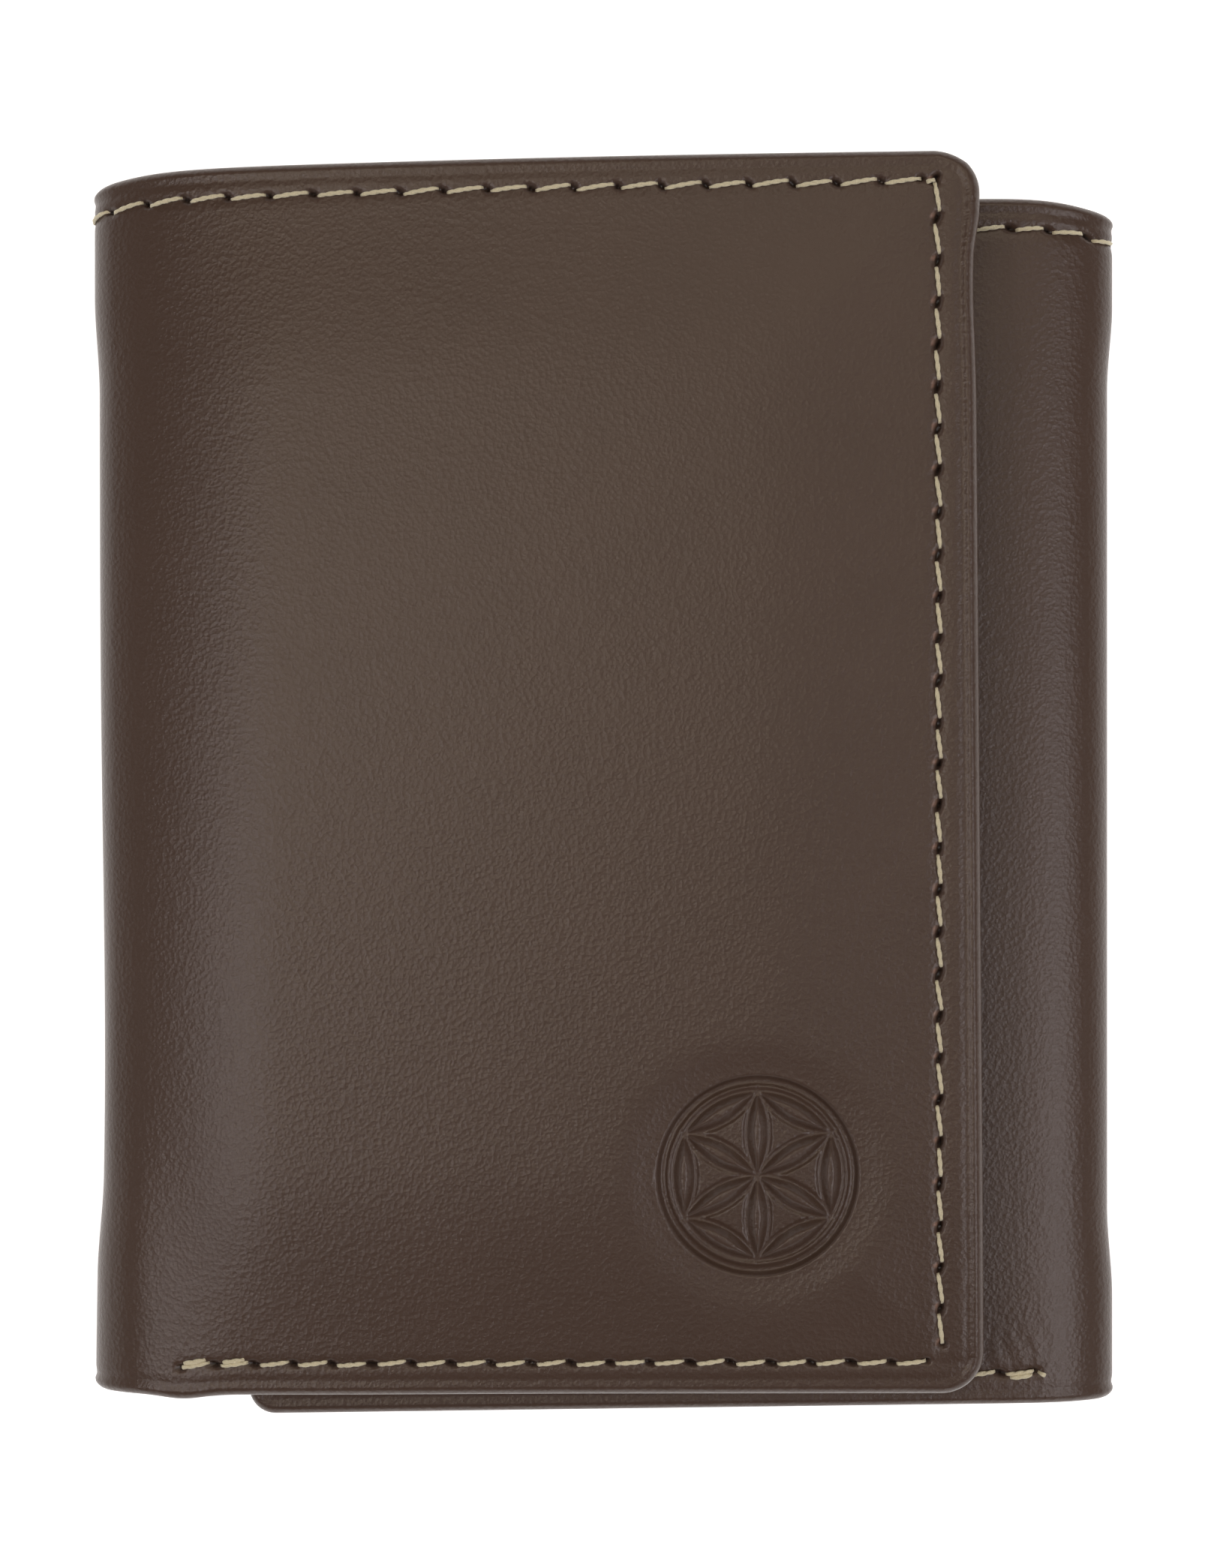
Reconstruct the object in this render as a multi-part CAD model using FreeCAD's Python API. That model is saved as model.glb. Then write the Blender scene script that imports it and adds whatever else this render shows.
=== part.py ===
import FreeCAD, Part
import math
import os

from FreeCAD import Vector

# A trifold wallet, folded shut and lying on its back.
# X runs across the wallet from the left fold to the right fold, Y runs up along the folds,
# and Z points out of the front flap. The origin is the middle of the back, on the table.

# ---- Driving dimensions (mm and degrees) ----
STRIP_HEIGHT = 105.0        # the leather strip's width, measured along the folds
CLOSED_WIDTH = 89.4         # left fold to right fold, folded shut
STRIP_SKEW = 0.75           # how far the strip runs off square to its folds
FREE_EDGE_LEAN = 0.4        # lean of the two flaps' free edges
FRONT_LENGTH = 76.6         # left fold to the front flap's free edge
INNER_LENGTH = 75.9         # right fold to the inner flap's free edge
FRONT_HEIGHT = 12.0         # front flap's outer face above the table, at the left fold
INNER_HEIGHT = 8.0          # inner flap's outer face above the table
FRONT_TILT = 3.35           # how far the front flap springs up
LOWER_CREASE_RADIUS = 3.0   # back to left spine
UPPER_CREASE_RADIUS = 5.0   # left spine to front flap
FRONT_CORNER = 3.5
INNER_CORNER = 3.0

# ---- Sheet thicknesses ----
LEATHER = 1.0
INTERLINING = 0.4
LINING = 0.2
BILL_GAP = 0.3
DIVIDER = 0.2
POCKET_BASE = 0.4
FACING = 0.45
SLOT_LINER = 0.1
WINDOW_SHEET = 0.2

# ---- Depth of each sheet, measured in from the leather's outer face ----
INTERLINING_DEPTH = LEATHER
LINING_DEPTH = INTERLINING_DEPTH + INTERLINING
DIVIDER_DEPTH = LINING_DEPTH + LINING + BILL_GAP
BASE_DEPTH = DIVIDER_DEPTH + DIVIDER
FACING_DEPTHS = [BASE_DEPTH + POCKET_BASE + FACING * step for step in range(3)]

# ---- Pockets ----
HEM = 1.5                   # the sheets inside stop this far short of the leather's edge
BILL_MOUTH = 4.0            # the divider's top edge is this far below the leather's
POCKET_MARGIN = 6.0         # pocket panels stop this far short of a fold
SLOT_STEP = 13.0            # one slot's mouth below the next
TOP_SLOT_DROP = 16.0        # first slot's mouth below the strip's top edge
FACING_REACH = 24.0         # a slot facing's own height, before its fabric liner takes over
WINDOW_WIDTH = 50.0
WINDOW_HEIGHT = 72.0
FRAME_BORDER = 9.0

# ---- Embossed roundel on the front flap ----
ROUNDEL_RADIUS = 8.3
ROUNDEL_DEPTH = 0.25
ROUNDEL_INSET = 18.8        # its centre from the free edge, and from the bottom edge

# ---- Sewing ----
THREAD_RADIUS = 0.21
STITCH_LENGTH = 2.9
HEM_PITCH = 3.7
FOOT_PITCH = 3.4
EDGE_PITCH = 3.58
HEM_INSET = 2.7             # top row below the leather's top edge
FOOT_INSET = 2.8            # bottom row above the leather's bottom edge
EDGE_INSET = 3.8            # side row in from the free edge
FOOT_START = 6.0            # bottom row begins this far from a fold

HALF_HEIGHT = STRIP_HEIGHT / 2
HALF_WIDTH = CLOSED_WIDTH / 2
CLIMB = math.tan(math.radians(STRIP_SKEW))
LEAN = math.tan(math.radians(FREE_EDGE_LEAN))
RIGHT_FOLD_RADIUS = INNER_HEIGHT / 2
FRONT_FREE_EDGE = FRONT_LENGTH - HALF_WIDTH
INNER_FREE_EDGE = HALF_WIDTH - INNER_LENGTH
FRONT_BEND = math.radians(90 - FRONT_TILT)
FRONT_LEATHER_START = UPPER_CREASE_RADIUS * math.tan(FRONT_BEND / 2) - HALF_WIDTH
BACK_LEFT = LOWER_CREASE_RADIUS - HALF_WIDTH
BACK_RIGHT = HALF_WIDTH - RIGHT_FOLD_RADIUS
ALONG_X, ALONG_Y, ALONG_Z = Vector(1, 0, 0), Vector(0, 1, 0), Vector(0, 0, 1)


class Panel:
    """One leaf of the folded strip.

    outer_z is the height of its leather's outer face, inward is +1 where its layers build up
    and -1 where they build down, and its middle line is y = slope * (x + offset)."""

    def __init__(self, outer_z, inward, slope, offset):
        self.outer_z = outer_z
        self.inward = inward
        self.slope = slope
        self.offset = offset

    def middle(self, x):
        return self.slope * (x + self.offset)

    def height_at(self, depth):
        return self.outer_z + self.inward * depth


BACK = Panel(0.0, 1, -CLIMB, 0.0)
INNER = Panel(INNER_HEIGHT, -1, CLIMB, -CLOSED_WIDTH)
FRONT = Panel(FRONT_HEIGHT, -1, CLIMB, CLOSED_WIDTH)


def tilt(shape):
    """Spring the front flap up about the corner where it meets the left spine."""
    shape.rotate(Vector(-HALF_WIDTH, 0, FRONT_HEIGHT), ALONG_Y, -FRONT_TILT)
    return shape


def settle(panel, shape):
    return tilt(shape) if panel is FRONT else shape


def sheet(panel, x_span, v_span, depth, thickness, corner=0.0, lean=0.0):
    """A flat sheet between two x values and two heights v up the strip, at a depth inside.

    corner rounds the two corners at the second x, which is where lean slants the edge."""
    (x_from, x_to), (low, high) = x_span, v_span
    ends = [(x_from, low, 0.0), (x_to, low, lean), (x_to, high, lean), (x_from, high, 0.0)]
    z = panel.height_at(depth)
    points = [Vector(x - v * slant, panel.middle(x) + v, z) for x, v, slant in ends]
    face = Part.Face(Part.makePolygon(points + points[:1]))
    solid = face.extrude(ALONG_Z * (panel.inward * thickness))
    if corner:
        solid = solid.makeFillet(corner, edges_at(solid, points[1:3]))
    return solid


def edges_at(solid, corners):
    """The solid's upright edges that start at the given corners."""
    found = []
    for edge in solid.Edges:
        ends = [vertex.Point for vertex in edge.Vertexes]
        upright = abs(ends[0].x - ends[1].x) + abs(ends[0].y - ends[1].y) < 1e-6
        if upright and any((end - corner).Length < 1e-6 for end in ends for corner in corners):
            found.append(edge)
    return found


def bent_sheet(centre, radius, thickness, angles, middle_y):
    """A sheet bent about an axis along Y, from one angle to another, in degrees from +X to +Z."""
    def arc(size):
        def point(angle):
            turn = math.radians(angle)
            return centre + Vector(math.cos(turn), 0, math.sin(turn)) * size
        return Part.Arc(point(angles[0]), point(sum(angles) / 2), point(angles[1])).toShape()

    outer, inner = arc(radius), arc(radius - thickness)
    sides = [Part.makeLine(outer.Vertexes[end].Point, inner.Vertexes[end].Point) for end in (0, 1)]
    face = Part.Face(Part.Wire(Part.__sortEdges__([outer, inner] + sides)))
    face.translate(Vector(0, middle_y - HALF_HEIGHT, 0))
    return face.extrude(ALONG_Y * STRIP_HEIGHT)


def stitch(start, end):
    return Part.makeCylinder(THREAD_RADIUS, (end - start).Length, start, end - start)


def row_across(panel, x_from, x_to, v, pitch):
    """Stitches that run across a panel, half sunk in its leather. Those of the back lie flush."""
    z = panel.outer_z + (THREAD_RADIUS if panel is BACK else 0.0)
    stitches = []
    for number in range(int(abs(x_to - x_from) // pitch)):
        start_x = min(x_from, x_to) + number * pitch
        end_x = start_x + STITCH_LENGTH
        start = Vector(start_x, panel.middle(start_x) + v, z)
        end = Vector(end_x, panel.middle(end_x) + v, z)
        stitches.append(settle(panel, stitch(start, end)))
    return stitches


def row_down(panel, x, low, high, pitch):
    """Stitches that run along a panel's free edge."""
    stitches = []
    for number in range(int((high - low) // pitch)):
        v = low + number * pitch
        start = Vector(x - v * LEAN, panel.middle(x) + v, panel.outer_z)
        end_v = v + STITCH_LENGTH
        end = Vector(x - end_v * LEAN, panel.middle(x) + end_v, panel.outer_z)
        stitches.append(settle(panel, stitch(start, end)))
    return stitches


def save(name, *solids):
    shape = solids[0] if len(solids) == 1 else Part.makeCompound(list(solids))
    shape.exportStep("parts/" + name + ".step")


def make_shell():
    """The outer leather: back, left spine and two flaps, with their creases and the right fold."""
    full = (-HALF_HEIGHT, HALF_HEIGHT)
    left_y = BACK.middle(-HALF_WIDTH)
    right_y = BACK.middle(HALF_WIDTH)
    save("back_leather", sheet(BACK, (BACK_LEFT, BACK_RIGHT), full, 0.0, LEATHER))
    inner = sheet(INNER, (BACK_RIGHT, INNER_FREE_EDGE), full, 0.0, LEATHER, INNER_CORNER, LEAN)
    save("inner_flap_leather", inner)

    front = sheet(FRONT, (FRONT_LEATHER_START, FRONT_FREE_EDGE), full, 0.0, LEATHER, FRONT_CORNER, LEAN)
    roundel_x = FRONT_FREE_EDGE - ROUNDEL_INSET
    roundel_y = FRONT.middle(roundel_x) + ROUNDEL_INSET - HALF_HEIGHT
    roundel_floor = Vector(roundel_x, roundel_y, FRONT_HEIGHT - ROUNDEL_DEPTH)
    front = front.cut(Part.makeCylinder(ROUNDEL_RADIUS, LEATHER, roundel_floor, ALONG_Z))
    save("front_flap_leather", tilt(front.Solids[0]))

    lower_centre = Vector(BACK_LEFT, 0, LOWER_CREASE_RADIUS)
    lower = bent_sheet(lower_centre, LOWER_CREASE_RADIUS, LEATHER, (180, 270), left_y)
    save("lower_crease_leather", lower)
    arc_rise = UPPER_CREASE_RADIUS * math.tan(FRONT_BEND / 2)
    upper_centre = Vector(UPPER_CREASE_RADIUS - HALF_WIDTH, 0, FRONT_HEIGHT - arc_rise)
    upper = bent_sheet(upper_centre, UPPER_CREASE_RADIUS, LEATHER, (180, 90 + FRONT_TILT), left_y)
    save("upper_crease_leather", upper)
    spine_foot = Vector(-HALF_WIDTH, left_y - HALF_HEIGHT, LOWER_CREASE_RADIUS)
    spine_rise = upper_centre.z - LOWER_CREASE_RADIUS
    save("left_spine_leather", Part.makeBox(LEATHER, STRIP_HEIGHT, spine_rise, spine_foot))
    lining_foot = spine_foot + Vector(LEATHER, HEM, 0)
    save("left_spine_lining", Part.makeBox(LINING, STRIP_HEIGHT - 2 * HEM, spine_rise, lining_foot))

    fold_centre = Vector(BACK_RIGHT, 0, RIGHT_FOLD_RADIUS)
    fold = bent_sheet(fold_centre, RIGHT_FOLD_RADIUS, LEATHER, (-90, 90), right_y)
    save("right_fold_leather", fold)
    lining_radius = RIGHT_FOLD_RADIUS - LEATHER
    save("right_fold_lining", bent_sheet(fold_centre, lining_radius, LINING, (-90, 90), right_y))


def make_linings(name, panel, fold_x, free_x, lean):
    """The stiffener and lining glued behind a panel's leather, and the bill divider."""
    sewn = (HEM - HALF_HEIGHT, HALF_HEIGHT - HEM)
    bill = (HEM - HALF_HEIGHT, HALF_HEIGHT - BILL_MOUTH)
    across = (fold_x, free_x)
    stiffener = sheet(panel, across, sewn, INTERLINING_DEPTH, INTERLINING, lean=lean)
    save(name + "_interlining", settle(panel, stiffener))
    lining = sheet(panel, across, sewn, LINING_DEPTH, LINING, lean=lean)
    save(name + "_lining", settle(panel, lining))
    divider = sheet(panel, across, bill, DIVIDER_DEPTH, DIVIDER, lean=lean)
    save(name + "_bill_divider", settle(panel, divider))
    return bill


def make_card_pockets(name, panel, fold_x, free_x):
    """Three stepped card slots on a base. Each facing but the last has a fabric liner below it."""
    bottom, top = make_linings(name, panel, fold_x, free_x, LEAN)
    across = (fold_x, free_x)
    base = sheet(panel, across, (bottom, top), BASE_DEPTH, POCKET_BASE, lean=LEAN)
    save(name + "_pocket_base", settle(panel, base))
    for number, depth in enumerate(FACING_DEPTHS, start=1):
        mouth = HALF_HEIGHT - TOP_SLOT_DROP - SLOT_STEP * (number - 1)
        last = number == len(FACING_DEPTHS)
        facing_bottom = bottom if last else mouth - FACING_REACH
        facing = sheet(panel, across, (facing_bottom, mouth), depth, FACING, lean=LEAN)
        save("%s_slot_facing_%d" % (name, number), settle(panel, facing))
        if not last:
            liner_depth = depth + FACING - SLOT_LINER
            liner = sheet(panel, across, (bottom, facing_bottom), liner_depth, SLOT_LINER, lean=LEAN)
            save("%s_slot_liner_%d" % (name, number), settle(panel, liner))


def make_centre_pockets():
    """The middle panel's slip pocket and framed identity-card window."""
    across = (POCKET_MARGIN - HALF_WIDTH, HALF_WIDTH - POCKET_MARGIN)
    bottom, top = make_linings("back", BACK, across[0], across[1], 0.0)
    save("centre_pocket_base", sheet(BACK, across, (bottom, top), BASE_DEPTH, POCKET_BASE))
    slip_depth, window_depth = FACING_DEPTHS[0], FACING_DEPTHS[1]
    mouth = HALF_HEIGHT - TOP_SLOT_DROP
    save("centre_slip_facing", sheet(BACK, across, (bottom, mouth), slip_depth, FACING))

    frame_top = bottom + WINDOW_HEIGHT + 2 * FRAME_BORDER - HEM
    window_x = (-WINDOW_WIDTH / 2, WINDOW_WIDTH / 2)
    window_v = (bottom + FRAME_BORDER, bottom + FRAME_BORDER + WINDOW_HEIGHT)
    frame_depth = window_depth + WINDOW_SHEET
    frame = sheet(BACK, across, (bottom, frame_top), frame_depth, FACING)
    opening = sheet(BACK, window_x, window_v, frame_depth, FACING)
    save("id_window_frame", frame.cut(opening).Solids[0])
    save("id_window_sheet", sheet(BACK, across, (bottom, frame_top), window_depth, WINDOW_SHEET))


def make_thread():
    """Every row of stitches that shows on the outside."""
    hem_v = HALF_HEIGHT - HEM_INSET
    foot_v = FOOT_INSET - HALF_HEIGHT
    front_edge = FRONT_FREE_EDGE - EDGE_INSET
    inner_edge = INNER_FREE_EDGE + EDGE_INSET
    left, right = FOOT_START - HALF_WIDTH, HALF_WIDTH - FOOT_START
    save("front_hem_thread", *row_across(FRONT, FRONT_LEATHER_START, front_edge, hem_v, HEM_PITCH))
    save("front_foot_thread", *row_across(FRONT, left, front_edge, foot_v, FOOT_PITCH))
    save("front_edge_thread", *row_down(FRONT, front_edge, foot_v, hem_v, EDGE_PITCH))
    save("inner_hem_thread", *row_across(INNER, BACK_RIGHT, inner_edge, hem_v, HEM_PITCH))
    save("inner_foot_thread", *row_across(INNER, right, inner_edge, foot_v, FOOT_PITCH))
    save("inner_edge_thread", *row_down(INNER, inner_edge, foot_v, hem_v, EDGE_PITCH))
    save("back_hem_thread", *row_across(BACK, BACK_LEFT, BACK_RIGHT, hem_v, HEM_PITCH))
    save("back_foot_thread", *row_across(BACK, left, right, foot_v, FOOT_PITCH))

    spine_y = BACK.middle(-HALF_WIDTH) + hem_v
    spine_start = Vector(-HALF_WIDTH, spine_y, LOWER_CREASE_RADIUS)
    save("spine_hem_thread", stitch(spine_start, spine_start + ALONG_Z * STITCH_LENGTH))
    fold_y = BACK.middle(HALF_WIDTH) + hem_v
    fold_start = Vector(HALF_WIDTH, fold_y, RIGHT_FOLD_RADIUS - STITCH_LENGTH / 2)
    save("right_fold_hem_thread", stitch(fold_start, fold_start + ALONG_Z * STITCH_LENGTH))


os.makedirs("parts", exist_ok=True)
make_shell()
make_card_pockets("front", FRONT, POCKET_MARGIN - HALF_WIDTH, FRONT_FREE_EDGE - HEM)
make_card_pockets("inner", INNER, HALF_WIDTH - POCKET_MARGIN, INNER_FREE_EDGE + HEM)
make_centre_pockets()
make_thread()

for crease, radius, bend in (("lower crease", LOWER_CREASE_RADIUS, math.pi / 2),
                             ("upper crease", UPPER_CREASE_RADIUS, FRONT_BEND)):
    inset = radius * (1 - bend / 2 / math.tan(bend / 2))
    height = inset if crease == "lower crease" else FRONT_HEIGHT - inset * math.tan(bend / 2)
    print("%s pivot: x %.4f, z %.4f, opens %.2f degrees" % (crease, inset - HALF_WIDTH, height,
                                                         math.degrees(bend)))
print("right fold pivot: x %.4f, z %.4f" % (BACK_RIGHT, RIGHT_FOLD_RADIUS))
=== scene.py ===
"""A dark brown leather trifold wallet, folded shut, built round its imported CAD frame."""
import math

import bmesh
import bpy
import numpy as np
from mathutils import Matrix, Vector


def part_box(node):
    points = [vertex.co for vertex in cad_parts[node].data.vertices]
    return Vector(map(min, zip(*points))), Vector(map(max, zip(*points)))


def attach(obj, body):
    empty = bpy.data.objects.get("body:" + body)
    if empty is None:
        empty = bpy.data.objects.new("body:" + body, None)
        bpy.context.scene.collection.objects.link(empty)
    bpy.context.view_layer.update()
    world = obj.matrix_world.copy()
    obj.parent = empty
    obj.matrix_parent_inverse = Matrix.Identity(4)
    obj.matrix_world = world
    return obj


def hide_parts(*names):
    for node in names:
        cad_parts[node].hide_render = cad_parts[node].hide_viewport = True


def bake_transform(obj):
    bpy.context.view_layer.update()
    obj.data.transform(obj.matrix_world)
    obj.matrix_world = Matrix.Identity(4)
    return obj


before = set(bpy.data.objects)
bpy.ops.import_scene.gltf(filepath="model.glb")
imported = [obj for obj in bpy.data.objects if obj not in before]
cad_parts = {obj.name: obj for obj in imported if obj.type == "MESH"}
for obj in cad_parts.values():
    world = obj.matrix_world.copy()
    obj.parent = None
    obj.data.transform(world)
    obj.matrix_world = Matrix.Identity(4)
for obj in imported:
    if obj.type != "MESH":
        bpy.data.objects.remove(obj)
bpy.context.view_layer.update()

MM = 0.001
UV_PER_MM = 0.01
rng = np.random.default_rng(7)

# ---- Sizes in millimetres, read from the frame where the frame has them ----


def box_mm(node):
    low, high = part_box(node)
    return np.array(low) / MM, np.array(high) / MM


SPINE_LOW, SPINE_HIGH = box_mm("left_spine_leather")
RIGHT_X = box_mm("right_fold_leather")[1][0]
INNER_LOW, INNER_HIGH = box_mm("inner_flap_leather")

EDGE_PROUD = 0.3  # the soft edge beyond the CAD plate
HALF_HEIGHT = (SPINE_HIGH[1] - SPINE_LOW[1]) / 2 + EDGE_PROUD
LEFT_X = SPINE_LOW[0]
CLIMB = (SPINE_LOW[1] + SPINE_HIGH[1]) / (2 * RIGHT_X)  # the strip's skew to its folds
LEAN = math.tan(math.radians(0.45))  # the free edges' own lean
ROW_LEAN = math.tan(math.radians(0.16))  # the lean of the stitches beside them
TILT = 3.35  # the front flap's spring, degrees
FRONT_PLANE_Z = 12.0  # front plane above the left fold
INNER_Z = INNER_HIGH[2]
FRONT_FREE_X = 31.8
INNER_FREE_X = INNER_LOW[0] + 0.05

LEATHER = 1.0
HEM_THICK = 1.6
HEM_WIDTH = 6.0
BOARD_LEVEL, BOARD_THICK = 1.5, 0.4  # a level is how deep a sheet's inner side lies
CLOTH_THICK = 0.15
LINING_LEVEL = 1.65 + CLOTH_THICK
BILL_SHEET_THICK = 0.18
DIVIDER_LEVEL = 2.0 + 0.2
BASE_THICK = 0.36
BASE_LEVEL = 2.22 + BASE_THICK
FACING_THICK = 0.42  # a card slot's step
FACING_GAP = 0.04  # what parts it from the next
FRONT_CORNER = 3.6
INNER_CORNER = 2.4

HEM_INSET = 2.7
FOOT_INSET = 2.8
EDGE_INSET = 3.46
STITCH_RADIUS = 0.2
BACK_FOOT_LEFT, BACK_FOOT_RIGHT = 35.0, 36.0  # the back's foot row, from its middle
SEWN_WIDTH = 0.55
HOLE_HALF_WIDTH, HOLE_REACH = 0.24, 0.1
HOLE_SHADE_HALF_WIDTH, HOLE_SHADE_REACH = 0.2, 0.04  # the size of the shade painted near black into a needle hole
ROUNDEL_INSET = 18.8
ROUNDEL_RADIUS = 8.3

SEAM_Z = 5.5  # where the shell's two left pieces meet


def smooth(t):
    t = np.clip(t, 0.0, 1.0)
    return t * t * (3 - 2 * t)


def bump(x, width):
    return np.exp(-(x / width) ** 2)


# ---- The strip's path in the XZ plane ----

def trace(start, heading, bends, step=0.02):
    """Points and headings of a line that goes through bends: (length, heading at its end, ease)."""
    points, headings = [np.array(start, float)], [heading]
    for length, end, ease in bends:
        begin = headings[-1]
        count = max(1, int(round(length / step)))
        for number in range(count):
            turn = math.radians(end + (begin - end) * (1 - (number + 0.5) / count) ** ease)
            points.append(points[-1] + length / count * np.array([math.cos(turn), math.sin(turn)]))
            headings.append(end + (begin - end) * (1 - (number + 1) / count) ** ease)
    return np.array(points), np.radians(headings)


class Run:
    """A traced line. Its outer side is on its left (+1) or on its right (-1)."""

    def __init__(self, points, headings, outer):
        self.points = points
        self.headings = headings
        steps = np.linalg.norm(np.diff(points, axis=0), axis=1)
        self.length = np.concatenate([[0.0], np.cumsum(steps)])
        self.outer = outer

    def at(self, distance):
        """Position and outward normal at a distance along, straight on beyond either end."""
        inside = np.clip(distance, 0, self.length[-1])
        heading = np.interp(inside, self.length, self.headings)
        beyond = distance - inside
        x = np.interp(inside, self.length, self.points[:, 0]) + beyond * np.cos(heading)
        z = np.interp(inside, self.length, self.points[:, 1]) + beyond * np.sin(heading)
        return x, z, -np.sin(heading) * self.outer, np.cos(heading) * self.outer


def front_run():
    """Up the left spine, over a tight crease, then a soft shoulder into the front plane."""
    crease_radius, shoulder_heading, shoulder_length = 4.0, 30.0, 20.0
    crease = crease_radius * math.radians(90 - shoulder_heading)
    bends = [(crease, shoulder_heading, 1.0), (shoulder_length, TILT, 2.4)]
    x, z = trace((LEFT_X, SEAM_Z), 90.0, bends)[0][-1]
    slope = math.tan(math.radians(TILT))
    rise = max(FRONT_PLANE_Z + (x - LEFT_X) * slope - z, 0.02)
    flat = (FRONT_FREE_X - x) / math.cos(math.radians(TILT))
    bends = [(rise, 90.0, 1.0)] + bends + [(flat, TILT, 1.0)]
    return Run(*trace((LEFT_X, SEAM_Z), 90.0, bends), 1)


def back_left_run():
    """Down the left spine and round the lower crease to the middle of the back."""
    radius = 3.2
    bends = [(SEAM_Z - radius, -90.0, 1.0), (radius * math.pi / 2, 0.0, 1.0),
             (-LEFT_X - radius, 0.0, 1.0)]
    return Run(*trace((LEFT_X, SEAM_Z), -90.0, bends), -1)


def right_run():
    """From the middle of the back, round the right fold and along the inner flap."""
    tight, shoulder_heading, shoulder_length = 2.75, 148.0, 10.0
    arc = tight * math.radians(shoulder_heading - 90)
    bends = [(arc, shoulder_heading, 1.0), (shoulder_length, 180.0, 3.0)]
    points, headings = trace((0.0, 0.0), 90.0, bends)
    points = points * (INNER_Z / 2 / points[-1][1])
    lower = points[::-1] * np.array([1, -1])
    curve = np.concatenate([lower, points[1:]]) + np.array([RIGHT_X, INNER_Z / 2])
    curve_headings = np.concatenate([math.pi - headings[::-1], headings[1:]])
    points = np.concatenate([[(0.0, 0.0)], curve, [(INNER_FREE_X, INNER_Z)]])
    return Run(points, np.concatenate([[0.0], curve_headings, [math.pi]]), -1)


class Leaf:
    """One stretch of the strip. Its own u is the distance along its run, v the height up it.

    strip_from and side turn u into the distance along the whole strip from the back's middle.
    At the fold x shifts by flare, a function of v, and the head drops by dip. bow lifts the head
    between the ends, sag drops the foot at SAG_U, and sink(u, v) lowers the face."""

    def __init__(self, run, strip_from, side, fold_at, flare,
                 sink=None, dip=0.75, bow=0.0, sag=0.0):
        self.run = run
        self.strip_from = strip_from
        self.side = side
        self.fold_at = fold_at
        self.flare = flare
        self.sink = sink
        self.dip = dip
        self.bow = bow
        self.sag = sag

    def strip_u(self, u):
        return self.strip_from + self.side * u

    def place(self, u, v, depth):
        """Points in millimetres. depth is measured in from the leather's outer face."""
        x, z, nx, nz = self.run.at(u)
        depth = depth + self.sink(u, v) if self.sink else depth
        y = v - CLIMB * self.strip_u(u)
        height = v / HALF_HEIGHT
        part = np.clip(u / self.run.length[-1], 0, 1)
        y = y - self.dip * bump(u - self.fold_at, 6.0) * smooth((height - 0.72) / 0.28)
        y = y + self.bow * smooth(height) * np.sin(math.pi * part)
        y = y - self.sag * bump(u - SAG_U, 2.4) * smooth((-height - 0.9) / 0.1)
        x = x + bump(u - self.fold_at, 5.0) * self.flare(v)
        return np.stack([x - nx * depth, y, z - nz * depth], -1)


def left_flare(v):
    """How far the left fold is drawn in: most below its middle, and least at its ends."""
    ends = 0.45 * smooth((np.abs(v) - 34) / 9)
    waist = 0.5 * bump(v + 24, 26.0)
    return waist - ends + 0.36


def right_flare(v):
    """How far the right fold stands out, which it does at its ends."""
    return 0.45 * smooth((np.abs(v) - 36) / 8) - 0.1


def front_sink(u, v):
    """The flap droops towards its foot, where the seam also squares its shoulder."""
    on_panel = smooth((u - 8) / 12) * (0.62 + 0.38 * smooth((u - 22) / 26))
    droop = 1.0 * np.clip(1 - (v + HALF_HEIGHT) / 22, 0, 1.1) ** 2 * on_panel
    square = -0.4 * bump(u - 6.5, 3.5) * smooth((-v - 24) / 20)
    return droop + square


FRONT_RUN, BACK_LEFT_RUN, RIGHT_RUN = front_run(), back_left_run(), right_run()
FRONT_LENGTH = FRONT_RUN.length[-1]
BACK_LEFT_LENGTH = BACK_LEFT_RUN.length[-1]
RIGHT_LENGTH = RIGHT_RUN.length[-1]
FOLD_U = float(np.interp(math.pi / 2, RIGHT_RUN.headings, RIGHT_RUN.length))
SAG_U = float(np.interp(-36.5, FRONT_RUN.points[:, 0], FRONT_RUN.length))
FRONT = Leaf(FRONT_RUN, -BACK_LEFT_LENGTH, -1, 0.0, left_flare, sink=front_sink, bow=0.3, sag=0.35)
BACK_LEFT = Leaf(BACK_LEFT_RUN, -BACK_LEFT_LENGTH, 1, 0.0, left_flare)
RIGHT = Leaf(RIGHT_RUN, 0.0, 1, FOLD_U, right_flare, dip=1.3)


# ---- Meshes ----

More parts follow.
